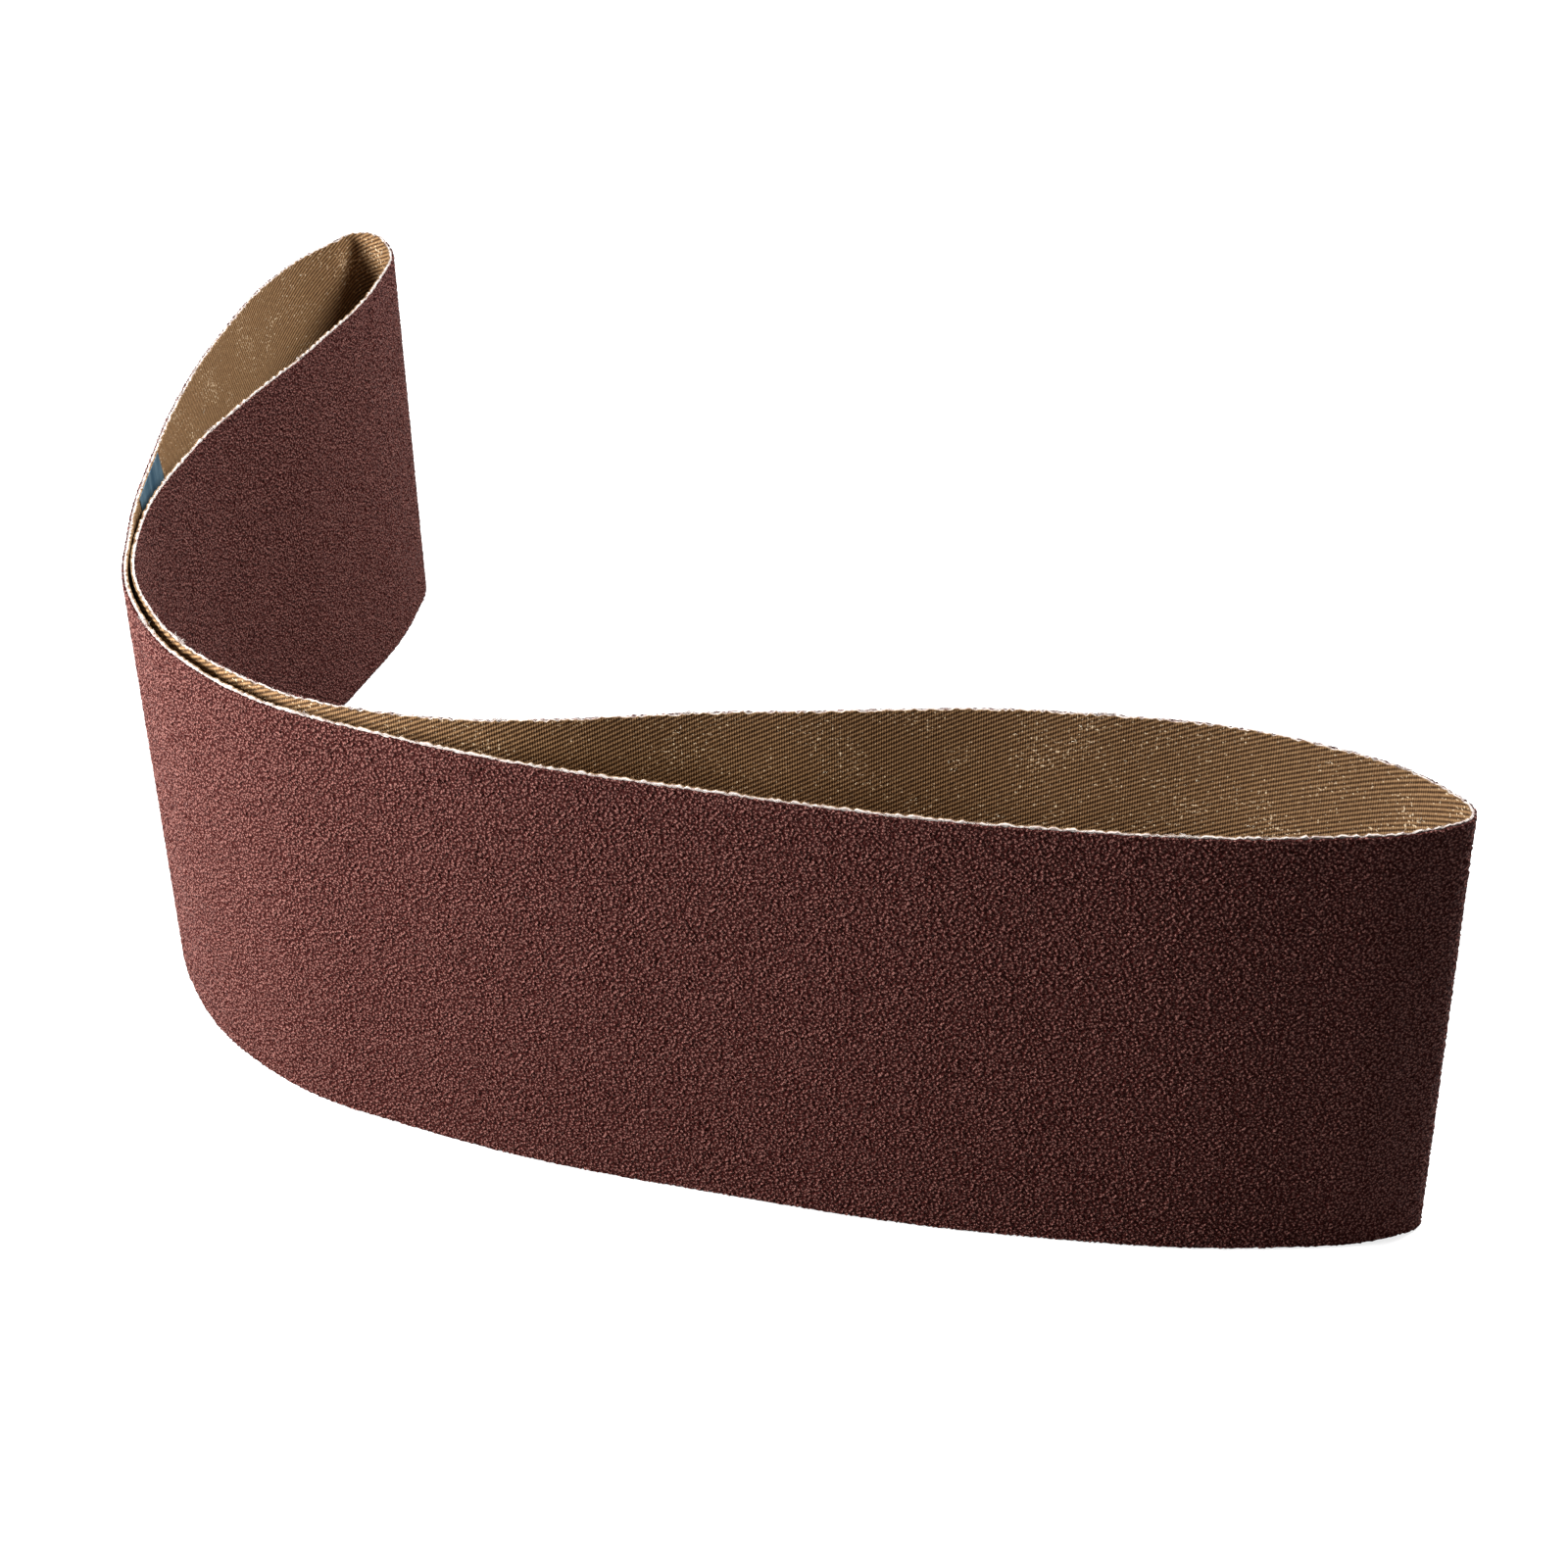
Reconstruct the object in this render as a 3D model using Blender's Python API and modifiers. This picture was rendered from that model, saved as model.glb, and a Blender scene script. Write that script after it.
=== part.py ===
"""A sanding belt, folded into a long crescent and standing on its edge.

The belt is a strip of twill cloth with a coat of abrasive grain on its outer face. Its two ends
meet in a slanting butt seam, and a film tape on the bare cloth behind the seam joins them.

Units are metres, +Z is up, and the origin is under the middle of the belt on the surface it stands on.
"""

import bisect
import math

import bmesh
import bpy
from mathutils import Vector

# The belt as it is ordered
BELT_WIDTH = 0.100
BELT_LENGTH = 1.000
CLOTH_THICKNESS = 0.00075
GRAIN_THICKNESS = 0.00045
BOND_LINE = 0.00003

# The seam and its tape
SEAM_FROM_FAR_NOSE = 0.130
SEAM_SLANT = math.radians(18)
SEAM_GAP = 0.0003
TAPE_WIDTH = 0.022
TAPE_THICKNESS = 0.00016

# How the folded belt lies, from its far nose to its near nose: x and y of the middle between
# the two runs, and the opening left between their cloth faces there
FOLD = (
    (-0.1070, 0.1425, 0.0),
    (-0.1060, 0.1340, 0.0145),
    (-0.1105, 0.1145, 0.0255),
    (-0.1205, 0.0740, 0.0240),
    (-0.1280, 0.0420, 0.0150),
    (-0.1320, 0.0150, 0.0070),
    (-0.1330, -0.0215, 0.0010),
    (-0.1260, -0.0530, 0.0012),
    (-0.1020, -0.0845, 0.0030),
    (-0.0670, -0.1025, 0.0060),
    (0.0055, -0.1135, 0.0285),
    (0.0645, -0.1195, 0.0395),
    (0.1145, -0.1275, 0.0295),
    (0.1365, -0.1340, 0.0090),
    (0.1400, -0.1355, 0.0),
)
STEPS_PER_SPAN = 12
FITTING_ROUNDS = 12
SHARP_ABOVE = math.radians(40)

CLOTH_COLOUR = (0.30, 0.20, 0.09, 1)
GRAIN_COLOUR = (0.14, 0.035, 0.028, 1)
TAPE_COLOUR = (0.05, 0.13, 0.20, 1)


def clear_scene():
    for old in list(bpy.data.objects):
        bpy.data.objects.remove(old, do_unlink=True)


def new_collection(name):
    made = bpy.data.collections.new(name)
    bpy.context.scene.collection.children.link(made)
    return made


def new_material(name, colour, roughness):
    made = bpy.data.materials.new(name)
    made.use_nodes = True
    shader = made.node_tree.nodes["Principled BSDF"]
    shader.inputs["Base Color"].default_value = colour
    shader.inputs["Roughness"].default_value = roughness
    made.diffuse_color = colour
    return made


def fold_knots(scale):
    """The loop's knots on the grain side of the cloth: one run from far nose to near, then the other back."""
    middles = [Vector((x, y)) * scale for x, y, _ in FOLD]
    first_run = []
    second_run = []
    for before, middle, after, (_, _, opening) in zip(middles, middles[1:], middles[2:], FOLD[1:]):
        ahead = (after - before).normalized()
        right = Vector((ahead.y, -ahead.x))
        reach = opening * scale / 2 + CLOTH_THICKNESS
        first_run.append(middle + right * reach)
        second_run.append(middle - right * reach)
    return [middles[0], *first_run, middles[-1], *reversed(second_run)]


def smooth_loop(knots):
    """Points along the closed smooth curve through the knots."""
    data = bpy.data.curves.new("fold_line", "CURVE")
    data.resolution_u = STEPS_PER_SPAN
    spline = data.splines.new("BEZIER")
    spline.bezier_points.add(len(knots) - 1)
    spline.use_cyclic_u = True
    for point, knot in zip(spline.bezier_points, knots):
        point.co = (knot.x, knot.y, 0)
        point.handle_left_type = "AUTO"
        point.handle_right_type = "AUTO"
    line = bpy.data.objects.new("fold_line", data)
    bpy.context.scene.collection.objects.link(line)
    bpy.context.view_layer.update()
    points = [vertex.co.to_2d() for vertex in line.to_mesh().vertices]
    line.to_mesh_clear()
    bpy.data.objects.remove(line)
    return points


def loop_length(points):
    return sum((after - here).length for here, after in zip(points, points[1:] + points[:1]))


def fold_line():
    """The folded loop at the belt's own length, centred on the origin."""
    scale = 1.0
    for _ in range(FITTING_ROUNDS):
        points = smooth_loop(fold_knots(scale))
        scale *= BELT_LENGTH / loop_length(points)
    centre = Vector([(min(p[axis] for p in points) + max(p[axis] for p in points)) / 2 for axis in (0, 1)])
    return [point - centre for point in points]


class Wrap:
    """Takes a point of the flat belt, so far along and so far off its grain side, onto the fold."""

    def __init__(self, points):
        self.points = points
        self.outward = []
        self.stations = [0.0]
        for before, here, after in zip(points[-1:] + points, points, points[1:] + points[:1]):
            into = (here - before).normalized()
            out = (after - here).normalized()
            mitre = Vector((into.y + out.y, -into.x - out.x)).normalized()
            self.outward.append(mitre / mitre.dot(Vector((out.y, -out.x))))
            self.stations.append(self.stations[-1] + (after - here).length)

    def station(self, column):
        laps, index = divmod(column, len(self.points))
        return laps * self.stations[-1] + self.stations[index]

    def column_before(self, along):
        laps, rest = divmod(along, self.stations[-1])
        return int(laps) * len(self.points) + bisect.bisect_right(self.stations, rest) - 1

    def place(self, along, height, off):
        column = self.column_before(along)
        here = column % len(self.points)
        after = (column + 1) % len(self.points)
        part = (along - self.station(column)) / (self.station(column + 1) - self.station(column))
        spot = self.points[here].lerp(self.points[after], part)
        spot += self.outward[here].lerp(self.outward[after], part) * off
        return Vector((spot.x, spot.y, height))


def add_layer(name, collection, material, wrap, start, end, off, thickness):
    """A layer of the belt from one slanting cut to another, folded up, then thickened away from the cloth."""
    half_run = BELT_WIDTH / 2 * math.tan(SEAM_SLANT)
    first = wrap.column_before(start - half_run)
    last = wrap.column_before(end + half_run) + 1
    bpy.ops.mesh.primitive_grid_add(x_subdivisions=last - first, y_subdivisions=1, size=2)
    layer = bpy.context.object
    layer.name = name
    layer.data.name = name
    for vertex in layer.data.vertices:
        column = first + round((vertex.co.x + 1) / 2 * (last - first))
        vertex.co = (wrap.station(column), (vertex.co.y + 1) / 2 * BELT_WIDTH, 0)
    flat = bmesh.new()
    flat.from_mesh(layer.data)
    for cut, side in ((start, -1), (end, 1)):
        bmesh.ops.bisect_plane(
            flat,
            geom=flat.verts[:] + flat.edges[:] + flat.faces[:],
            dist=1e-6,
            plane_co=(cut, BELT_WIDTH / 2, 0),
            plane_no=(side, -side * math.tan(SEAM_SLANT), 0),
            clear_outer=True,
        )
    for vertex in flat.verts:
        vertex.co = wrap.place(vertex.co.x, vertex.co.y, off)
    flat.to_mesh(layer.data)
    flat.free()
    layer.data.materials.append(material)
    for owner in list(layer.users_collection):
        owner.objects.unlink(layer)
    collection.objects.link(layer)
    solidify = layer.modifiers.new("thickness", "SOLIDIFY")
    solidify.thickness = abs(thickness)
    solidify.offset = math.copysign(1, thickness)
    solidify.use_even_offset = True
    bpy.ops.object.modifier_apply(modifier=solidify.name)
    layer.data.shade_smooth()
    layer.data.set_sharp_from_angle(angle=SHARP_ABOVE)


def main():
    clear_scene()
    belt = new_collection("sanding_belt")
    cloth = new_material("twill_cloth", CLOTH_COLOUR, 0.85)
    grain = new_material("abrasive_grain", GRAIN_COLOUR, 0.6)
    film = new_material("splice_film", TAPE_COLOUR, 0.35)
    wrap = Wrap(fold_line())

    seam = SEAM_FROM_FAR_NOSE
    start = seam + SEAM_GAP / 2
    end = seam + BELT_LENGTH - SEAM_GAP / 2
    half_tape = TAPE_WIDTH / 2 / math.cos(SEAM_SLANT)
    bare_face = -CLOTH_THICKNESS - BOND_LINE

    add_layer("backing_cloth", belt, cloth, wrap, start, end, 0, -CLOTH_THICKNESS)
    add_layer("abrasive_coat", belt, grain, wrap, start, end, BOND_LINE, GRAIN_THICKNESS)
    add_layer("splice_tape", belt, film, wrap, seam - half_tape, seam + half_tape, bare_face, -TAPE_THICKNESS)


main()
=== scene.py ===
import math

import bmesh
import bpy
import numpy as np
from mathutils import Matrix, Vector


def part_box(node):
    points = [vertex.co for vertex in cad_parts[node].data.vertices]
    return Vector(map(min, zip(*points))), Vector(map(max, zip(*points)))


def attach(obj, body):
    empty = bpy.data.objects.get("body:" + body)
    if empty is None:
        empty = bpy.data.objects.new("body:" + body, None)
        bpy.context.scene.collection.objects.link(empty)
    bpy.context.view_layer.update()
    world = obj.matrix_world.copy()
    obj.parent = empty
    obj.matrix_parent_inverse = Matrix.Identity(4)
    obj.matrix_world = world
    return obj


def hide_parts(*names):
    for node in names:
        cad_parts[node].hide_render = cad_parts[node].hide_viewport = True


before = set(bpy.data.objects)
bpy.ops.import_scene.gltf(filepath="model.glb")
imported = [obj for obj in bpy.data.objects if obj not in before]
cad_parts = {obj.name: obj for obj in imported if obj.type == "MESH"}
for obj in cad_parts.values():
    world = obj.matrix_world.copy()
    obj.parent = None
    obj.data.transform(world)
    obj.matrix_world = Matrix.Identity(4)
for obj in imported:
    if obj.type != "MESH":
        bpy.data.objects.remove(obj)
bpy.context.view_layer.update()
bpy.ops.object.select_all(action="DESELECT")
print("frame loaded")


# the belt's line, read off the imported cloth

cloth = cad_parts["backing_cloth"]
clothLow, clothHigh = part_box("backing_cloth")
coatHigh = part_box("abrasive_coat")[1]

belt = {
    "width": clothHigh.z - clothLow.z,
    "clothThickness": 0.00075,
    "bondLine": 0.00003,
    "walkStep": 0.0001,
    "slantFade": 0.12,          # columns lean with the seam and stand upright this far from it
    "lookAhead": 0.001,
}
belt["grainThickness"] = coatHigh.x - clothHigh.x - belt["bondLine"]

reading = {
    "merge": 1e-6,
    "level": 1e-5,
    "flatFace": 0.9,            # a face is flat where its normal is more upright than this
    "cornerTurn": 0.7,          # sine of the least turn at a corner of the strip's end
}


def edgeWalk(node, height):
    # corners of the cloth's cut edge at one height, on its grain side, counter-clockwise from the seam
    mesh = bmesh.new()
    mesh.from_mesh(node.data)
    bmesh.ops.remove_doubles(mesh, verts=mesh.verts, dist=reading["merge"])
    beside = {}
    for edge in mesh.edges:
        level = all(abs(vert.co.z - height) < reading["level"] for vert in edge.verts)
        flats = [abs(face.normal.z) > reading["flatFace"] for face in edge.link_faces]
        if level and len(flats) == 2 and flats[0] != flats[1]:
            first, second = edge.verts
            beside.setdefault(first, []).append(second)
            beside.setdefault(second, []).append(first)
    start = min(beside, key=lambda vert: vert.index)
    walk = [start, beside[start][0]]
    while walk[-1] != start:
        walk.append(next(vert for vert in beside[walk[-1]] if vert != walk[-2]))
    points = np.array([vert.co.xy for vert in walk[:-1]])
    mesh.free()
    into = points - np.roll(points, 1, axis=0)
    out = np.roll(points, -1, axis=0) - points
    turn = np.abs(into[:, 0] * out[:, 1] - into[:, 1] * out[:, 0])
    turn /= np.linalg.norm(into, axis=1) * np.linalg.norm(out, axis=1)
    corners = np.flatnonzero(turn > reading["cornerTurn"])
    points = np.roll(points, -corners[0], axis=0)
    ends = [*(corners - corners[0]), len(points)]
    runs = [points[a:b + 1] for a, b in zip(ends, ends[1:])]
    grainSide = max(runs, key=lambda run: np.linalg.norm(np.diff(run, axis=0), axis=1).sum())
    area = np.sum(grainSide[:-1, 0] * grainSide[1:, 1] - grainSide[1:, 0] * grainSide[:-1, 1])
    return grainSide if area > 0 else grainSide[::-1]


def smoothLoop(points, step):
    # a smooth closed curve through the points
    ring = np.vstack([points[-2:], points, points[:2]])
    gap = np.linalg.norm(np.diff(ring, axis=0), axis=1)
    slope = np.diff(ring, axis=0) / gap[:, None]
    before, after = gap[:-1, None], gap[1:, None]
    tangent = (slope[:-1] * after + slope[1:] * before) / (before + after)
    line = []
    for i in range(1, len(ring) - 2):
        count = max(2, int(gap[i] / step))
        t = np.linspace(0, 1, count, endpoint=False)[:, None]
        h = gap[i]
        line.append(
            (2 * t**3 - 3 * t**2 + 1) * ring[i]
            + (t**3 - 2 * t**2 + t) * h * tangent[i - 1]
            + (3 * t**2 - 2 * t**3) * ring[i + 1]
            + (t**3 - t**2) * h * tangent[i]
        )
    return np.vstack(line[1:])


topRun = edgeWalk(cloth, clothHigh.z)
lowRun = edgeWalk(cloth, clothLow.z)
line = smoothLoop(topRun[:-1], belt["walkStep"])
around = np.r_[0, np.cumsum(np.linalg.norm(np.roll(line, -1, axis=0) - line, axis=1))]
belt["length"] = around[-1]
heading = np.roll(line, -1, axis=0) - np.roll(line, 1, axis=0)
heading /= np.linalg.norm(heading, axis=1)[:, None]
outward = np.column_stack([heading[:, 1], -heading[:, 0]])
line = np.vstack([line, line[:1]])
outward = np.vstack([outward, outward[:1]])


def alongOf(point):
    nearest = np.argmin(np.linalg.norm(line[:-1] - np.asarray(point), axis=1))
    return around[nearest] - (belt["length"] if around[nearest] > belt["length"] / 2 else 0)


belt["seamRun"] = -alongOf(lowRun[0])
print("belt", round(belt["length"], 4), "m round, seam runs back", round(belt["seamRun"], 4))


def wrapPoints(along, height, off):
    # places on the fold: so far along, so high, so far off the cloth's grain side
    lap = np.mod(along, belt["length"])
    x = np.interp(lap, around, line[:, 0]) + off * np.interp(lap, around, outward[:, 0])
    y = np.interp(lap, around, line[:, 1]) + off * np.interp(lap, around, outward[:, 1])
    return np.column_stack([x, y, height])


def runAhead(along, off):
    # unit vectors along the belt
    level = np.zeros(len(along))
    ahead = wrapPoints(along + belt["lookAhead"], level, off) - wrapPoints(along, level, off)
    return ahead / np.linalg.norm(ahead, axis=1)[:, None]


def seamAt(height):
    return -belt["seamRun"] * (1 - height / belt["width"])


def slanted(share, height, start, end):
    # along for a share from one seam cut to the other, upright in between
    flat = start + share * (end - start)
    fromEnd = np.minimum(share, 1 - share) * (end - start) / belt["slantFade"]
    lean = np.clip(1 - fromEnd, 0, 1)
    return flat + seamAt(height) * lean * lean * (3 - 2 * lean)


def gridSheet(name, columns, rows, layAt):
    # a grid primitive laid round the fold, with its UV map in metres along and up
    bpy.ops.mesh.primitive_grid_add(x_subdivisions=columns, y_subdivisions=rows, size=2)
    sheet = bpy.context.object
    sheet.name = name
    sheet.data.name = name
    flat = np.zeros(len(sheet.data.vertices) * 3, np.float32)
    sheet.data.vertices.foreach_get("co", flat)
    flat = flat.reshape(-1, 3).astype(float)
    column = np.rint((flat[:, 0] + 1) / 2 * columns).astype(int)
    row = np.rint((flat[:, 1] + 1) / 2 * rows).astype(int)
    along, height, off = layAt(column, row)
    placed = wrapPoints(along, height, off)
    sheet.data.vertices.foreach_set("co", placed.astype(np.float32).ravel())
    corner = np.zeros(len(sheet.data.loops), np.int32)
    sheet.data.loops.foreach_get("vertex_index", corner)
    uv = np.column_stack([along[corner], height[corner]])
    sheet.data.uv_layers[0].data.foreach_set("uv", uv.astype(np.float32).ravel())
    sheet.data.update()
    return sheet, column, row


def markPoints(piece, name, values):
    # a number on each of the first points, and 0 on the rest
    field = np.zeros(len(piece.data.vertices), np.float32)
    field[:len(values)] = values
    piece.data.attributes.new(name, "FLOAT", "POINT").data.foreach_set("value", field)


def finishPiece(piece, node, material=None):
    if material:
        piece.data.materials.clear()
        piece.data.materials.append(material)
    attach(piece, "root")
    if node:
        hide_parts(node)
    piece.select_set(False)


# nodes that the materials share

def newMaterial(name):
    made = bpy.data.materials.new(name)
    made.use_nodes = True
    nodes = made.node_tree.nodes
    return made, nodes, made.node_tree.links, nodes["Principled BSDF"]


def uvOutput(nodes):
    return nodes.new("ShaderNodeTexCoord").outputs["UV"]


def attributeOutput(nodes, name):
    field = nodes.new("ShaderNodeAttribute")
    field.attribute_name = name
    return field.outputs["Fac"]


def noiseOutput(nodes, links, source, scale, detail=2, roughness=0.5, dimensions="2D"):
    noise = nodes.new("ShaderNodeTexNoise")
    noise.noise_dimensions = dimensions
    noise.inputs["Scale"].default_value = scale
    noise.inputs["Detail"].default_value = detail
    noise.inputs["Roughness"].default_value = roughness
    links.new(source, noise.inputs["Vector"])
    return noise.outputs["Fac"]


def cellNode(nodes, links, source, width):
    cells = nodes.new("ShaderNodeTexVoronoi")
    cells.voronoi_dimensions = "2D"
    cells.inputs["Scale"].default_value = 1 / width
    links.new(source, cells.inputs["Vector"])
    return cells


def bandsOutput(nodes, links, source, pitch, angle, wander):
    # straight bands, turned by an angle on the belt's own UV; at scale 1 they repeat every pi / 10
    turned = nodes.new("ShaderNodeMapping")
    turned.inputs["Rotation"].default_value = (0, 0, angle)
    links.new(source, turned.inputs["Vector"])
    bands = nodes.new("ShaderNodeTexWave")
    bands.wave_type = "BANDS"
    bands.bands_direction = "Y"
    bands.inputs["Scale"].default_value = math.pi / 10 / pitch
    bands.inputs["Distortion"].default_value = wander
    bands.inputs["Detail Scale"].default_value = twill["wanderScale"]
    links.new(turned.outputs["Vector"], bands.inputs["Vector"])
    return bands.outputs["Fac"]


def scaledSum(nodes, links, source, factor, added):
    # an output times a number, plus a number or another output
    total = nodes.new("ShaderNodeMath")
    total.operation = "MULTIPLY_ADD"
    links.new(source, total.inputs[0])
    total.inputs[1].default_value = factor
    if isinstance(added, float):
        total.inputs[2].default_value = added
    else:
        links.new(added, total.inputs[2])
    return total.outputs["Value"]


def blended(nodes, links, share, first, second):
    mix = nodes.new("ShaderNodeMix")
    mix.data_type = "FLOAT"
    mix.inputs["Factor"].default_value = share
    links.new(first, mix.inputs["A"])
    links.new(second, mix.inputs["B"])
    return mix.outputs["Result"]


def colourRamp(nodes, links, source, stops):
    ramp = nodes.new("ShaderNodeValToRGB")
    elements = ramp.color_ramp.elements
    while len(elements) < len(stops):
        elements.new(0.5)
    for element, (place, colour) in zip(elements, stops):
        element.position = place
        element.color = (*colour, 1)
    links.new(source, ramp.inputs["Fac"])
    return ramp.outputs["Color"]


def covered(nodes, links, share, under):
    # a colour mix whose upper colour is still to be set
    mix = nodes.new("ShaderNodeMix")
    mix.data_type = "RGBA"
    links.new(share, mix.inputs["Factor"])
    links.new(under, mix.inputs["A"])
    return mix


def roughen(nodes, links, shader, source, least, most):
    spread = nodes.new("ShaderNodeMapRange")
    spread.inputs["To Min"].default_value = least
    spread.inputs["To Max"].default_value = most
    links.new(source, spread.inputs["Value"])
    links.new(spread.outputs["Result"], shader.inputs["Roughness"])


def bumpOn(nodes, links, shader, height, strength, depth):
    bump = nodes.new("ShaderNodeBump")
    bump.inputs["Strength"].default_value = strength
    bump.inputs["Distance"].default_value = depth
    links.new(height, bump.inputs["Height"])
    links.new(bump.outputs["Normal"], shader.inputs["Normal"])


# the bonded grain: deep red, with a painted highlight paler on the tips and painted shade darker in the
# pits

grain = {
    # the pit colour is darkened as painted shade, and the tip colour lightened as a painted highlight
    "shadedPit": (0.029, 0.0034, 0.0024),
    "body": (0.052, 0.0094, 0.0070),
    "tipAndHighlight": (0.205, 0.0910, 0.0770),
    "shadedPitUpTo": 0.36,            # heights that the three colours lie at
    "bodyAt": 0.50,
    "highlitTipFrom": 0.67,
    "grit": 0.00062,            # one grain and the gap beside it
    "gritShare": 0.66,          # how far the dots count, beside the modelled grains
    "domeSlope": -1.5,          # a dot falls away from its middle
    "domeTop": 1.05,
    "crystal": 0.00034,         # facets on one grain
    "dullLeast": 0.42,
    "dullMost": 0.85,
    "speckle": 3000,
    "speckleRoughness": 0.6,
    "speckleHeight": 1.6,
    "bumpDepth": 0.00020,
    "shine": 0.07,
}


def grainMaterial():
    made, nodes, links, shader = newMaterial("bondedGrain")
    place = uvOutput(nodes)
    dots = cellNode(nodes, links, place, grain["grit"]).outputs["Distance"]
    dome = scaledSum(nodes, links, dots, grain["domeSlope"], grain["domeTop"])
    level = blended(nodes, links, grain["gritShare"], attributeOutput(nodes, "proud"), dome)
    # higher points take the paler colours: painted shade in the pits, a painted highlight on the tips
    stops = [
        (grain["shadedPitUpTo"], grain["shadedPit"]),
        (grain["bodyAt"], grain["body"]),
        (grain["highlitTipFrom"], grain["tipAndHighlight"]),
    ]
    links.new(colourRamp(nodes, links, level, stops), shader.inputs["Base Color"])
    facets = nodes.new("ShaderNodeSeparateColor")
    crystals = cellNode(nodes, links, place, grain["crystal"]).outputs["Color"]
    links.new(crystals, facets.inputs["Color"])
    roughen(nodes, links, shader, facets.outputs["Green"], grain["dullLeast"], grain["dullMost"])
    speckle = noiseOutput(
        nodes, links, place, grain["speckle"], roughness=grain["speckleRoughness"]
    )
    raised = scaledSum(nodes, links, speckle, grain["speckleHeight"], facets.outputs["Blue"])
    hump = scaledSum(nodes, links, raised, 1.0, dome)
    bumpOn(nodes, links, shader, hump, 1.0, grain["bumpDepth"])
    shader.inputs["Specular IOR Level"].default_value = grain["shine"]
    return made


# the bare back of the cloth: ribs of filled twill, paler on the rib crests and darker in the grooves, with
# specks of dust

twill = {
    "ribPitch": 0.00098,
    "ribSlant": math.radians(25),
    "ribWander": 0.30,
    "yarnPitch": 0.00049,
    "yarnSlant": math.radians(90),
    "yarnWander": 0.5,
    "wanderScale": 2.5,
    "yarnShare": 0.32,          # how far the cross yarns show beside the ribs
    "groove": (0.030, 0.0135, 0.0055),
    "yarn": (0.205, 0.1120, 0.0500),
    "ribCrest": (0.450, 0.2850, 0.1450),
    "grooveUpTo": 0.24,
    "yarnAt": 0.62,
    "ribCrestFrom": 0.92,
    "mottle": 900,
    "mottleDetail": 4,
    "mottleRoughness": 0.7,
    "mottleShare": 0.36,
    "bumpStrength": 0.8,
    "bumpDepth": 0.00017,
    "dull": 0.72,
    "shine": 0.12,
}
dust = {
    "colour": (0.66, 0.51, 0.34),
    "speck": 1400,
    "patch": 80,
    "patchShare": 0.4,          # how far specks gather in patches
    "from": 0.89,
    "fullFrom": 0.95,
    "cover": 0.85,
}


def clothMaterial():
    made, nodes, links, shader = newMaterial("filledTwill")
    place = uvOutput(nodes)
    ribs = bandsOutput(nodes, links, place, twill["ribPitch"], twill["ribSlant"], twill["ribWander"])
    yarns = bandsOutput(
        nodes, links, place, twill["yarnPitch"], twill["yarnSlant"], twill["yarnWander"]
    )
    weave = blended(nodes, links, twill["yarnShare"], ribs, yarns)
    mottle = noiseOutput(
        nodes, links, place, twill["mottle"], twill["mottleDetail"], twill["mottleRoughness"]
    )
    shade = blended(nodes, links, twill["mottleShare"], weave, mottle)
    # the colour follows the weave's height, the same height that the bump uses
    stops = [
        (twill["grooveUpTo"], twill["groove"]),
        (twill["yarnAt"], twill["yarn"]),
        (twill["ribCrestFrom"], twill["ribCrest"]),
    ]
    bare = colourRamp(nodes, links, shade, stops)
    specks = noiseOutput(nodes, links, place, dust["speck"])
    patches = noiseOutput(nodes, links, place, dust["patch"])
    gathered = scaledSum(nodes, links, patches, dust["patchShare"], specks)
    stops = [(dust["from"], (0, 0, 0)), (dust["fullFrom"], (dust["cover"],) * 3)]
    dusty = covered(nodes, links, colourRamp(nodes, links, gathered, stops), bare)
    dusty.inputs["B"].default_value = (*dust["colour"], 1)
    links.new(dusty.outputs["Result"], shader.inputs["Base Color"])
    bumpOn(nodes, links, shader, weave, twill["bumpStrength"], twill["bumpDepth"])
    shader.inputs["Roughness"].default_value = twill["dull"]
    shader.inputs["Specular IOR Level"].default_value = twill["shine"]
    return made


# loose cotton, and the cut edge of the cloth

fibre = {
    "pale": (0.50, 0.45, 0.42),
    "soiled": (0.31, 0.225, 0.205),
    "lint": (0.80, 0.72, 0.58),
    "lintSoiled": (0.55, 0.44, 0.30),
    "size": (0.240, 0.155, 0.085),      # the brown filler that the cloth is soaked in
    "sizeDark": (0.085, 0.046, 0.023),
    "soil": 900,
    "soilDetail": 4,
    "soiledUpTo": 0.32,
    "paleFrom": 0.56,
    "darkUpTo": 0.35,
    "sizeFrom": 0.65,
    "brownUpTo": 0.88,          # on the edge: brown beside the back, white beside the grain
    "whiteFrom": 1.0,
    "bumpStrength": 0.9,
    "bumpDepth": 0.00010,
    "dull": 0.95,
    "shine": 0.1,
}


def fibreMaterial(name, soiled, pale, edge=False):
    made, nodes, links, shader = newMaterial(name)
    place = nodes.new("ShaderNodeTexCoord").outputs["Object"]
    soil = noiseOutput(nodes, links, place, fibre["soil"], fibre["soilDetail"], dimensions="3D")
    colour = colourRamp(nodes, links, soil, [(fibre["soiledUpTo"], soiled), (fibre["paleFrom"], pale)])
    if edge:
        stops = [(fibre["darkUpTo"], fibre["sizeDark"]), (fibre["sizeFrom"], fibre["size"])]
        brown = colourRamp(nodes, links, soil, stops)
        border = scaledSum(nodes, links, attributeOutput(nodes, "grainSide"), 1.0, soil)
        stops = [(fibre["brownUpTo"], (0, 0, 0)), (fibre["whiteFrom"], (1, 1, 1))]
        mixed = covered(nodes, links, colourRamp(nodes, links, border, stops), brown)
        links.new(colour, mixed.inputs["B"])
        colour = mixed.outputs["Result"]
    links.new(colour, shader.inputs["Base Color"])
    bumpOn(nodes, links, shader, soil, fibre["bumpStrength"], fibre["bumpDepth"])
    shader.inputs["Roughness"].default_value = fibre["dull"]
    shader.inputs["Specular IOR Level"].default_value = fibre["shine"]
    return made


# the blue-grey film, scuffed up and down, with the ribs showing through

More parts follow.
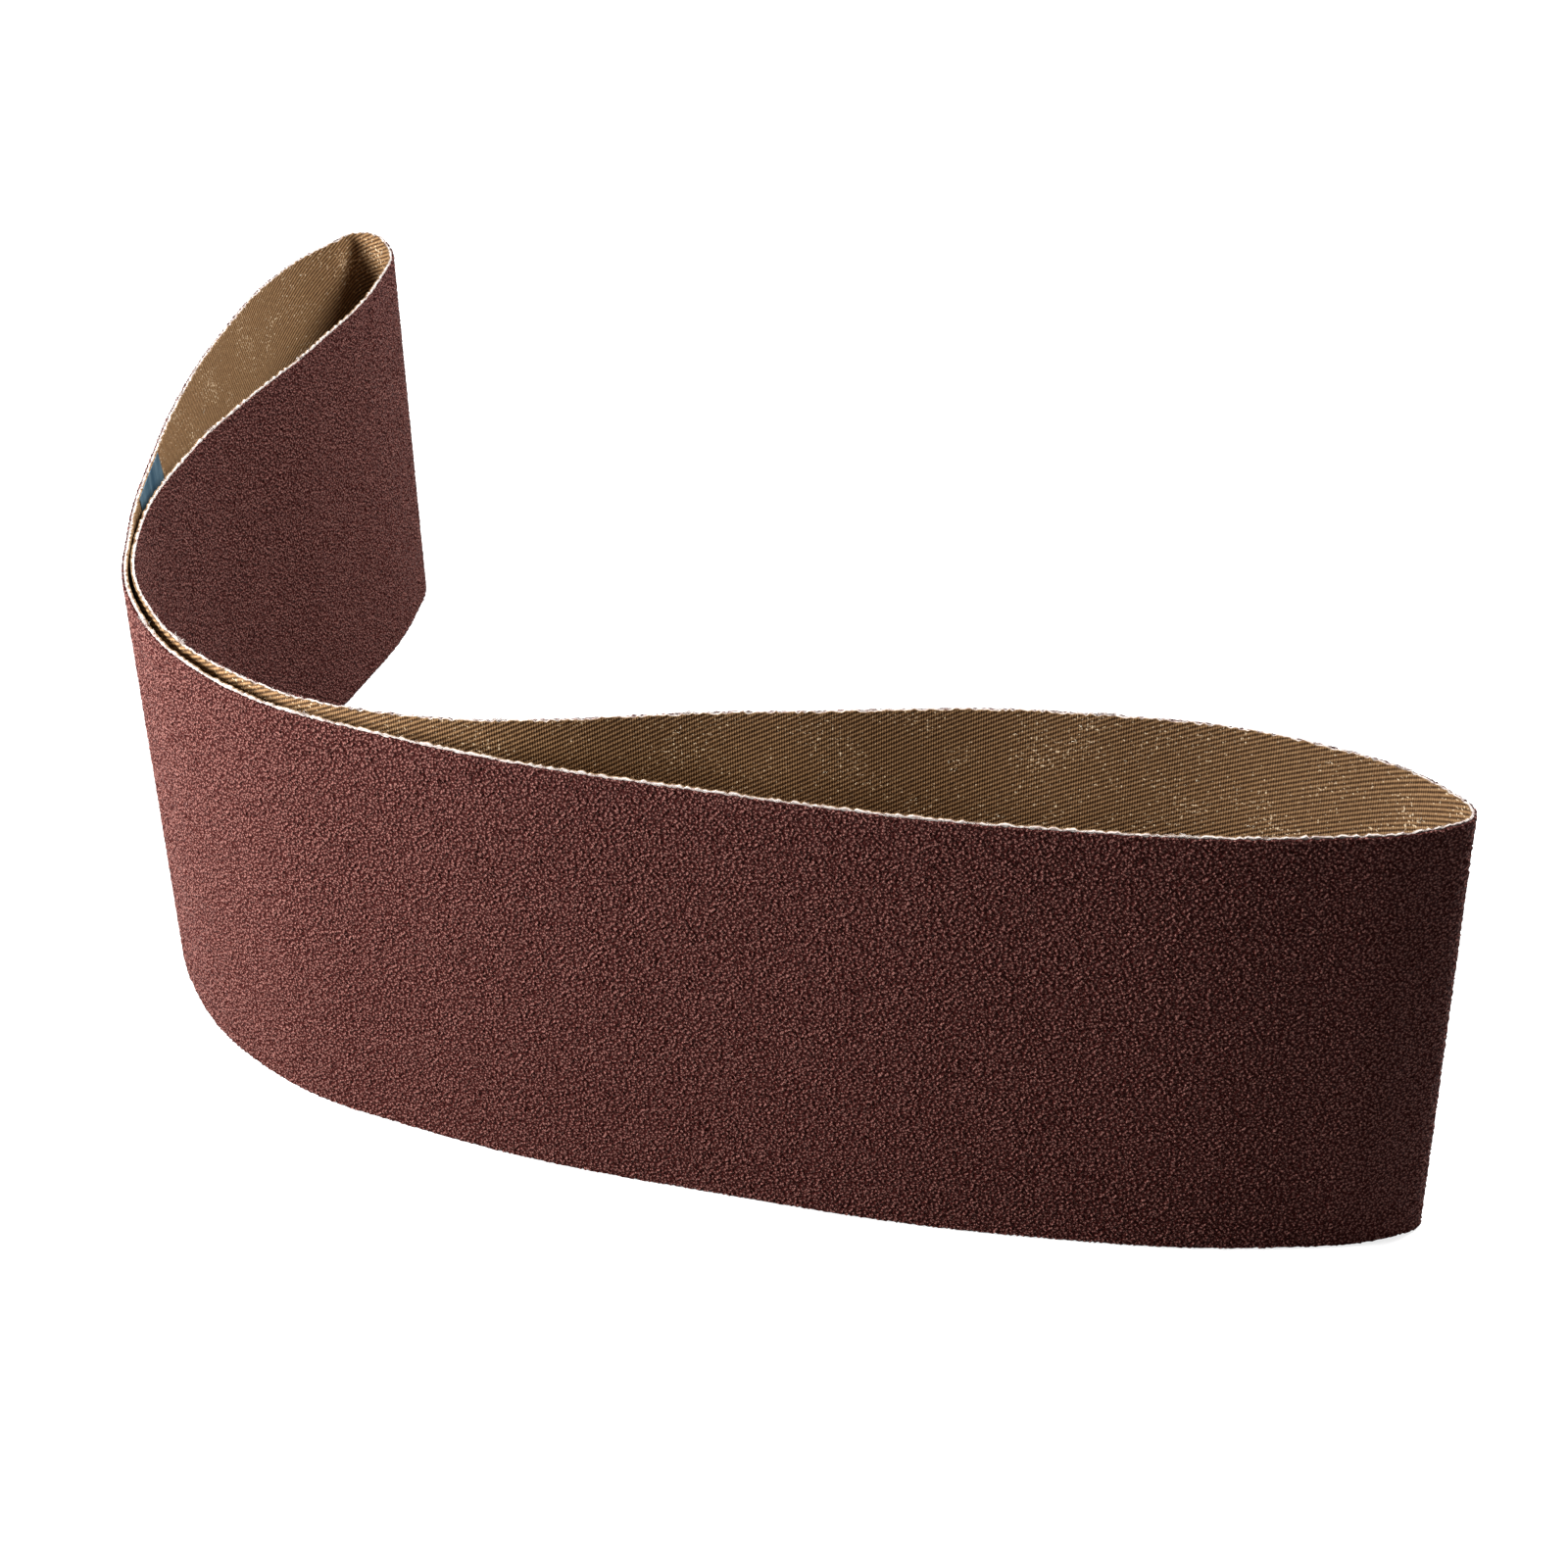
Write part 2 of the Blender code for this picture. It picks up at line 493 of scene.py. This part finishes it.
film = {
    "deep": (0.026, 0.062, 0.096),
    "scuffed": (0.078, 0.135, 0.175),
    "deepUpTo": 0.35,
    "scuffedFrom": 0.75,
    "scratch": 380,
    "scratchDetail": 5,
    "scratchPull": 0.12,        # height counts this much, which draws the scratches out upwards
    "dullLeast": 0.30,
    "dullMost": 0.55,
    "bumpStrength": 0.35,
    "bumpDepth": 0.00006,
}


def filmMaterial():
    made, nodes, links, shader = newMaterial("spliceFilm")
    place = uvOutput(nodes)
    drawn = nodes.new("ShaderNodeMapping")
    drawn.inputs["Scale"].default_value = (1, film["scratchPull"], 1)
    links.new(place, drawn.inputs["Vector"])
    scuff = noiseOutput(nodes, links, drawn.outputs["Vector"], film["scratch"], film["scratchDetail"])
    stops = [(film["deepUpTo"], film["deep"]), (film["scuffedFrom"], film["scuffed"])]
    links.new(colourRamp(nodes, links, scuff, stops), shader.inputs["Base Color"])
    roughen(nodes, links, shader, scuff, film["dullLeast"], film["dullMost"])
    ribs = bandsOutput(nodes, links, place, twill["ribPitch"], twill["ribSlant"], twill["ribWander"])
    bumpOn(nodes, links, shader, ribs, film["bumpStrength"], film["bumpDepth"])
    return made


grainLook = grainMaterial()
clothLook = clothMaterial()
fibreLook = fibreMaterial("cutFibre", fibre["soiled"], fibre["pale"])
edgeLook = fibreMaterial("cutEdge", fibre["soiled"], fibre["pale"], edge=True)
lintLook = fibreMaterial("lintFibre", fibre["lintSoiled"], fibre["lint"])
filmLook = filmMaterial()
print("materials made")


# the coat of grain: every grid point is a grain's tip or the pit beside it

coat = {
    "lengths": 4,               # pieces round the belt, end to end
    "columns": 480,             # in each piece
    "rows": 194,
    "relief": 0.00040,          # pit to tip
    "middle": 0.45,             # the tip share that lies on the coat's plain face
    "scatter": 0.36,            # how far a point strays, as a share of the spacing
    "tipGain": 0.85,            # how far a grain stands out from those beside it
    "tipBias": 1.2,             # a few tips stand above many pits
    "chipLeast": 0.00012,       # grain lost along the cut edges
    "chipMost": 0.00044,
    "chipBias": 0.6,
    "lowChipShare": 0.5,        # the bottom edge loses less
    "rowGap": 0.00012,          # rows keep this apart where the edge is chipped
    "seamGap": 0.00015,
    "seed": 11,
}


def coatLayout():
    # along, height, height off the cloth and tip share of every point of the whole belt's grid
    dice = np.random.default_rng(coat["seed"])
    columns, rows = coat["columns"] * coat["lengths"], coat["rows"]
    share = np.repeat(np.linspace(0, 1, columns + 1)[:, None], rows + 1, axis=1)
    height = np.repeat(np.linspace(0, belt["width"], rows + 1)[None, :], columns + 1, axis=0)
    stray = dice.uniform(-1, 1, (2, columns + 1, rows + 1)) * coat["scatter"]
    stray[:, [0, -1], :] = 0
    stray[1][:, [0, -1]] = 0
    share = share + stray[0] / columns
    height = height + stray[1] * belt["width"] / rows
    tipAndHighlight = dice.uniform(0, 1, (columns + 1, rows + 1))
    beside = sum(np.roll(tipAndHighlight, step, axis) for step in (-1, 1) for axis in (0, 1)) / 4
    tipAndHighlight = np.clip(0.5 + (tipAndHighlight - beside) * coat["tipGain"], 0, 1) ** coat["tipBias"]
    chipRange = coat["chipMost"] - coat["chipLeast"]
    chips = coat["chipLeast"] + dice.power(coat["chipBias"], (2, columns + 1)) * chipRange
    fromTop = (rows - np.arange(rows + 1))[None, :] * coat["rowGap"]
    fromLow = np.arange(rows + 1)[None, :] * coat["rowGap"]
    height = np.minimum(height, belt["width"] - chips[0][:, None] - fromTop)
    height = np.maximum(height, chips[1][:, None] * coat["lowChipShare"] + fromLow)
    start, end = coat["seamGap"], belt["length"] - coat["seamGap"]
    along = slanted(share, height, start, end)
    off = belt["bondLine"] + belt["grainThickness"] + (tipAndHighlight - coat["middle"]) * coat["relief"]
    return along, height, off, tipAndHighlight


def closeBack(sheet, index, along, height):
    # rims down to the bond line and a plain back, so that each length is a closed shell
    columns, rows = index.shape[0] - 1, index.shape[1] - 1
    shape = bmesh.new()
    shape.from_mesh(sheet.data)
    uvLayer = shape.loops.layers.uv.active
    back = {}
    for row in (0, rows):
        spots = wrapPoints(along[:, row], height[:, row], np.full(columns + 1, belt["bondLine"]))
        back[row] = [shape.verts.new(spot) for spot in spots]
    shape.verts.ensure_lookup_table()
    front = {row: [shape.verts[point] for point in index[:, row]] for row in (0, rows)}
    ends = {column: [shape.verts[point] for point in index[column]] for column in (0, columns)}
    uvOf = {}
    for row in (0, rows):
        for column in range(columns + 1):
            uvOf[back[row][column]] = uvOf[front[row][column]] = (along[column, row], height[column, row])
    for column in (0, columns):
        for row in range(rows + 1):
            uvOf[ends[column][row]] = (along[column, row], height[column, row])
    made = []
    low, high = back[0], back[rows]
    lowFront, highFront = front[0], front[rows]
    for here in range(columns):
        after = here + 1
        for corners in (
            [lowFront[after], lowFront[here], low[here], low[after]],
            [highFront[here], highFront[after], high[after], high[here]],
            [low[after], low[here], high[here], high[after]],
        ):
            made.append(shape.faces.new(corners))
    for column in (0, columns):
        made.append(shape.faces.new(ends[column] + [high[column], low[column]]))
    for face in made:
        for loop in face.loops:
            loop[uvLayer].uv = uvOf[loop.vert]
    bmesh.ops.recalc_face_normals(shape, faces=shape.faces)
    shape.to_mesh(sheet.data)
    shape.free()


def makeCoat():
    along, height, off, tipAndHighlight = coatLayout()
    lengths = []
    for number in range(coat["lengths"]):
        first = number * coat["columns"]

        def layAt(column, row):
            spot = (column + first, row)
            return along[spot], height[spot], off[spot]

        sheet, column, row = gridSheet(f"gritCoat{number + 1}", coat["columns"], coat["rows"], layAt)
        index = np.zeros((coat["columns"] + 1, coat["rows"] + 1), int)
        index[column, row] = np.arange(len(column))
        part = slice(first, first + coat["columns"] + 1)
        closeBack(sheet, index, along[part], height[part])
        # the tip share also lays painted shade and a painted highlight into the grain's colour
        markPoints(sheet, "proud", tipAndHighlight[part][column, row])
        facets = sheet.modifiers.new("grainFacets", "TRIANGULATE")
        facets.quad_method = "SHORTEST_DIAGONAL"
        bpy.ops.object.modifier_apply(modifier=facets.name)
        sheet.data.shade_flat()
        finishPiece(sheet, "abrasive_coat", grainLook)
        lengths.append(sheet)
    return lengths


coatPieces = makeCoat()
print("grit coat", sum(len(piece.data.polygons) for piece in coatPieces), "faces")


# the cloth: twill inside, white where the grain has chipped off, and a ragged top edge

backing = {
    "columns": 1400,
    "rows": 10,
    "ragged": 0.00030,
    "seamGap": 0.00015,
    "sharp": math.radians(40),
    "seed": 5,
}


def makeCloth():
    dice = np.random.default_rng(backing["seed"])
    ragged = dice.uniform(-1, 1, backing["columns"] + 1) * backing["ragged"]

    def layAt(column, row):
        height = row / backing["rows"] * belt["width"]
        height = height + np.where(row == backing["rows"], ragged[column], 0)
        share = column / backing["columns"]
        along = slanted(share, height, backing["seamGap"], belt["length"] - backing["seamGap"])
        return along, height, np.zeros(len(column))

    sheet = gridSheet("twillBacking", backing["columns"], backing["rows"], layAt)[0]
    solidify = sheet.modifiers.new("clothThickness", "SOLIDIFY")
    solidify.thickness = belt["clothThickness"]
    solidify.offset = -1
    solidify.use_even_offset = True
    solidify.use_rim = True
    solidify.material_offset = 1
    solidify.material_offset_rim = 2
    sheet.data.materials.clear()
    for look in (fibreLook, clothLook, edgeLook):
        sheet.data.materials.append(look)
    outerCount = len(sheet.data.vertices)
    bpy.ops.object.modifier_apply(modifier=solidify.name)
    sheet.data.shade_smooth()
    sheet.data.set_sharp_from_angle(angle=backing["sharp"])
    markPoints(sheet, "grainSide", np.ones(outerCount))
    finishPiece(sheet, "backing_cloth")
    return sheet


clothPiece = makeCloth()
print("twill backing", len(clothPiece.data.polygons), "faces")


# the film tape behind the seam

splice = {"columns": 22, "rows": 60, "width": 0.022, "thickness": 0.00014, "sharp": math.radians(40)}


def makeTape():
    halfRun = splice["width"] / 2 * math.hypot(1, belt["seamRun"] / belt["width"])
    under = -belt["clothThickness"] - belt["bondLine"]

    def layAt(column, row):
        height = row / splice["rows"] * belt["width"]
        along = (column / splice["columns"] * 2 - 1) * halfRun + seamAt(height)
        return along, height, np.full(len(column), under)

    sheet = gridSheet("spliceTape", splice["columns"], splice["rows"], layAt)[0]
    solidify = sheet.modifiers.new("filmThickness", "SOLIDIFY")
    solidify.thickness = splice["thickness"]
    solidify.offset = -1
    bpy.ops.object.modifier_apply(modifier=solidify.name)
    sheet.data.shade_smooth()
    sheet.data.set_sharp_from_angle(angle=splice["sharp"])
    finishPiece(sheet, "splice_tape", filmLook)
    return sheet


tapePiece = makeTape()
print("splice tape", len(tapePiece.data.polygons), "faces")


# loose fibres: many short threads in one mesh

thread = {"sides": 3, "endShare": 0.45, "aside": (0.31, 0.53, 0.79), "tiny": 1e-12}


def threadMesh(name, roots, paths, radii):
    # roots (n,3), paths (n,k,3) from each root, radii (n,)
    sides = thread["sides"]
    count, steps = paths.shape[:2]
    spots = roots[:, None, :] + paths
    turn = np.arange(sides) * (2 * math.pi / sides)
    ahead = np.gradient(spots, axis=1)
    ahead /= np.linalg.norm(ahead, axis=2, keepdims=True) + thread["tiny"]
    side = np.cross(ahead, np.array(thread["aside"]))
    side /= np.linalg.norm(side, axis=2, keepdims=True) + thread["tiny"]
    other = np.cross(ahead, side)
    radius = np.linspace(1, thread["endShare"], steps)[None, :, None, None] * radii[:, None, None, None]
    cosine, sine = (wave(turn)[None, None, :, None] for wave in (np.cos, np.sin))
    ring = side[:, :, None, :] * cosine + other[:, :, None, :] * sine
    verts = (spots[:, :, None, :] + ring * radius).reshape(-1, 3)
    base = np.arange(count)[:, None, None] * steps * sides
    low = base + np.arange(steps - 1)[None, :, None] * sides
    spoke = np.arange(sides)[None, None, :]
    after = (spoke + 1) % sides
    walls = np.stack([low + spoke, low + after, low + sides + after, low + sides + spoke], axis=-1)
    foot = (np.arange(count) * steps * sides)[:, None]
    feet = foot + np.arange(sides)[::-1]
    tips = foot + (steps - 1) * sides + np.arange(sides)
    mesh = bpy.data.meshes.new(name)
    mesh.from_pydata(verts.tolist(), [], walls.reshape(-1, 4).tolist() + feet.tolist() + tips.tolist())
    made = bpy.data.objects.new(name, mesh)
    bpy.context.scene.collection.objects.link(made)
    mesh.shade_smooth()
    return made


# the fluff along the top cut edge, with a few longer tufts

fray = {
    "threads": 8600,
    "shortest": 0.00018,
    "longest": 0.00105,
    "lengthBias": 0.5,
    "scale": 0.7,
    "radius": 0.000045,
    "radiusLeast": 0.6,
    "radiusMost": 1.4,
    "clumpWaves": (610, 173, 1450, 90),
    "tufts": 14,
    "tuftThreads": 45,
    "tuftSpread": 0.0016,
    "tuftLength": 0.0015,
    "tuftShortest": 0.3,
    "below": 0.00012,           # roots start this far under the edge
    "depthBias": 0.6,           # mostly near the grain side, and as far as the cloth's middle
    "depthShare": 0.5,
    "droop": 0.35,
    "lean": 1.0,
    "outwards": 0.3,
    "outwardsSpread": 0.5,
    "curl": 0.9,
    "steps": 3,
    "seed": 23,
}


def makeFray():
    dice = np.random.default_rng(fray["seed"])
    loose = dice.uniform(0, belt["length"], fray["threads"])
    knots = dice.uniform(0, belt["length"], fray["tufts"])
    tufted = np.repeat(knots, fray["tuftThreads"])
    tufted = tufted + dice.normal(0, fray["tuftSpread"] / 2, len(tufted))
    along = np.r_[loose, tufted]
    count = len(along)
    slow, drift, quick, creep = fray["clumpWaves"]
    clump = 0.5 + 0.25 * np.sin(along * slow + 2 * np.sin(along * drift))
    clump = clump + 0.25 * np.sin(along * quick + along**2 * creep)
    reach = fray["longest"] - fray["shortest"]
    length = fray["shortest"] + clump * dice.power(fray["lengthBias"], count) * reach
    length[len(loose):] = fray["tuftLength"] * dice.uniform(fray["tuftShortest"], 1.0, len(tufted))
    depth = -dice.power(fray["depthBias"], count) * fray["depthShare"] * belt["clothThickness"]
    roots = wrapPoints(along, np.full(count, belt["width"] - fray["below"]), depth)
    ahead = runAhead(along, depth)
    across = np.column_stack([ahead[:, 1], -ahead[:, 0], np.zeros(count)])
    t = np.linspace(0, 1, fray["steps"])[None, :, None]
    lean = dice.normal(0, fray["lean"], (count, 1, 1))
    outwards = dice.normal(fray["outwards"], fray["outwardsSpread"], (count, 1, 1))
    curl = dice.normal(0, fray["curl"], (count, 1, 1))
    path = (
        np.array([0, 0, 1.0])[None, None, :] * (t - fray["droop"] * t * t)
        + ahead[:, None, :] * (lean * t + curl * t * t)
        + across[:, None, :] * (outwards * t)
    )
    path = path * length[:, None, None] * fray["scale"]
    radii = fray["radius"] * dice.uniform(fray["radiusLeast"], fray["radiusMost"], count)
    made = threadMesh("topFray", roots, path, radii)
    finishPiece(made, None, fibreLook)
    return made


topFray = makeFray()
print("frayed top edge", len(topFray.data.polygons), "faces")


# flecks of lint on the bare inner face

lint = {
    "flecks": 640,
    "threads": 3,
    "lowest": 0.03,             # shares of the belt's width
    "highest": 0.985,
    "sizeBias": 0.7,
    "sizeLeast": 0.25,
    "spread": 0.0004,
    "upShare": 0.5,
    "edgeLow": 0.001,           # no thread starts nearer to a cut edge
    "edgeHigh": 0.0005,
    "length": 0.00045,
    "lengthLeast": 0.4,
    "lengthMost": 1.4,
    "bend": 1.8,
    "radius": 0.00006,
    "radiusLeast": 0.7,
    "radiusMost": 1.5,
    "sunk": 0.8,                # a thread's middle lies this many radii off the cloth
    "steps": 4,
    "seed": 41,
}


def makeLint():
    dice = np.random.default_rng(lint["seed"])
    along = np.repeat(dice.uniform(0, belt["length"], lint["flecks"]), lint["threads"])
    height = belt["width"] * dice.uniform(lint["lowest"], lint["highest"], lint["flecks"])
    height = np.repeat(height, lint["threads"])
    size = np.repeat(dice.power(lint["sizeBias"], lint["flecks"]) + lint["sizeLeast"], lint["threads"])
    count = len(along)
    along = along + dice.normal(0, lint["spread"], count) * size
    height = height + dice.normal(0, lint["spread"] * lint["upShare"], count) * size
    height = np.clip(height, lint["edgeLow"], belt["width"] - lint["edgeHigh"])
    off = np.full(count, -belt["clothThickness"] - lint["radius"] * lint["sunk"])
    roots = wrapPoints(along, height, off)
    ahead = runAhead(along, off)
    t = np.linspace(0, 1, lint["steps"])[None, :, None]
    angle = dice.uniform(0, 2 * math.pi, (count, 1, 1))
    bend = dice.normal(0, lint["bend"], (count, 1, 1))
    path = ahead[:, None, :] * np.sin(angle + bend * t) * t
    path = path + np.array([0, 0, 1.0]) * np.cos(angle + bend * t) * t
    reach = lint["length"] * dice.uniform(lint["lengthLeast"], lint["lengthMost"], count) * size
    radii = lint["radius"] * dice.uniform(lint["radiusLeast"], lint["radiusMost"], count)
    made = threadMesh("lintFibres", roots, path * reach[:, None, None], radii)
    finishPiece(made, None, lintLook)
    return made


lintPiece = makeLint()
print("lint", len(lintPiece.data.polygons), "faces")


# stage, light and camera

stage = {
    "floor": 6.0,
    "floorColour": (0.40, 0.40, 0.40),
    "floorDrop": 0.0003,        # the belt stands just clear of the floor
    "lift": 0.78,               # what the camera sees added to the floor, up to white
    "worldLight": 0.13,
    "backdrop": 1.0,
}


def makeFloor():
    bpy.ops.mesh.primitive_plane_add(size=stage["floor"], location=(0, 0, clothLow.z - stage["floorDrop"]))
    floor = bpy.context.object
    floor.name = "floor"
    made, nodes, links, shader = newMaterial("palePaper")
    nodes.remove(shader)
    paper = nodes.new("ShaderNodeBsdfDiffuse")
    paper.inputs["Color"].default_value = (*stage["floorColour"], 1)
    glow = nodes.new("ShaderNodeEmission")
    ray = nodes.new("ShaderNodeLightPath")
    lift = nodes.new("ShaderNodeMath")
    lift.operation = "MULTIPLY"
    lift.inputs[1].default_value = stage["lift"]
    links.new(ray.outputs["Is Camera Ray"], lift.inputs[0])
    links.new(lift.outputs["Value"], glow.inputs["Strength"])
    both = nodes.new("ShaderNodeAddShader")
    links.new(paper.outputs["BSDF"], both.inputs[0])
    links.new(glow.outputs["Emission"], both.inputs[1])
    links.new(both.outputs["Shader"], nodes["Material Output"].inputs["Surface"])
    floor.data.materials.append(made)
    floor.select_set(False)


def makeWorld():
    # a dim even light on the belt, and white where the camera or a reflection looks past it
    world = bpy.data.worlds.new("studio")
    bpy.context.scene.world = world
    world.use_nodes = True
    nodes, links = world.node_tree.nodes, world.node_tree.links
    ray = nodes.new("ShaderNodeLightPath")
    seen = nodes.new("ShaderNodeMath")
    seen.operation = "MAXIMUM"
    links.new(ray.outputs["Is Camera Ray"], seen.inputs[0])
    links.new(ray.outputs["Is Glossy Ray"], seen.inputs[1])
    level = nodes.new("ShaderNodeMapRange")
    level.inputs["To Min"].default_value = stage["worldLight"]
    level.inputs["To Max"].default_value = stage["backdrop"]
    links.new(seen.outputs["Value"], level.inputs["Value"])
    links.new(level.outputs["Result"], nodes["Background"].inputs["Strength"])
    nodes["Background"].inputs["Color"].default_value = (1, 1, 1, 1)


lamps = {
    "leftLamp": {"place": (-0.42, -0.19, 0.24), "aim": (-0.12, -0.03, 0.05), "size": 0.14, "power": 6.6},
    "backLamp": {"place": (0.55, 0.30, 0.80), "aim": (-0.05, 0.0, 0.05), "size": 0.4, "power": 21.5},
}


def makeLamps():
    for name, lamp in lamps.items():
        bpy.ops.object.light_add(type="AREA", location=lamp["place"])
        light = bpy.context.object
        light.name = name
        light.data.shape = "DISK"
        light.data.size = lamp["size"]
        light.data.energy = lamp["power"]
        towards = Vector(lamp["aim"]) - Vector(lamp["place"])
        light.rotation_euler = towards.to_track_quat("-Z", "Y").to_euler()
        light.select_set(False)


view = {
    "place": (0.02535, -0.58052, 0.40289),
    "lens": 66.77,
    "sensor": 36,
    "nearest": 0.01,
    "down": math.radians(33.534),
    "turn": math.radians(1.905),
    "roll": math.radians(-1.194),
}


def makeCamera():
    data = bpy.data.cameras.new("camera")
    data.lens = view["lens"]
    data.sensor_width = view["sensor"]
    data.clip_start = view["nearest"]
    camera = bpy.data.objects.new("camera", data)
    bpy.context.scene.collection.objects.link(camera)
    camera.matrix_world = (
        Matrix.Translation(view["place"])
        @ Matrix.Rotation(view["turn"], 4, "Z")
        @ Matrix.Rotation(math.pi / 2 - view["down"], 4, "X")
        @ Matrix.Rotation(view["roll"], 4, "Z")
    )
    bpy.context.scene.camera = camera


makeFloor()
makeWorld()
makeLamps()
makeCamera()
bpy.context.scene.view_settings.view_transform = "Standard"
print("stage, lamps and camera set")
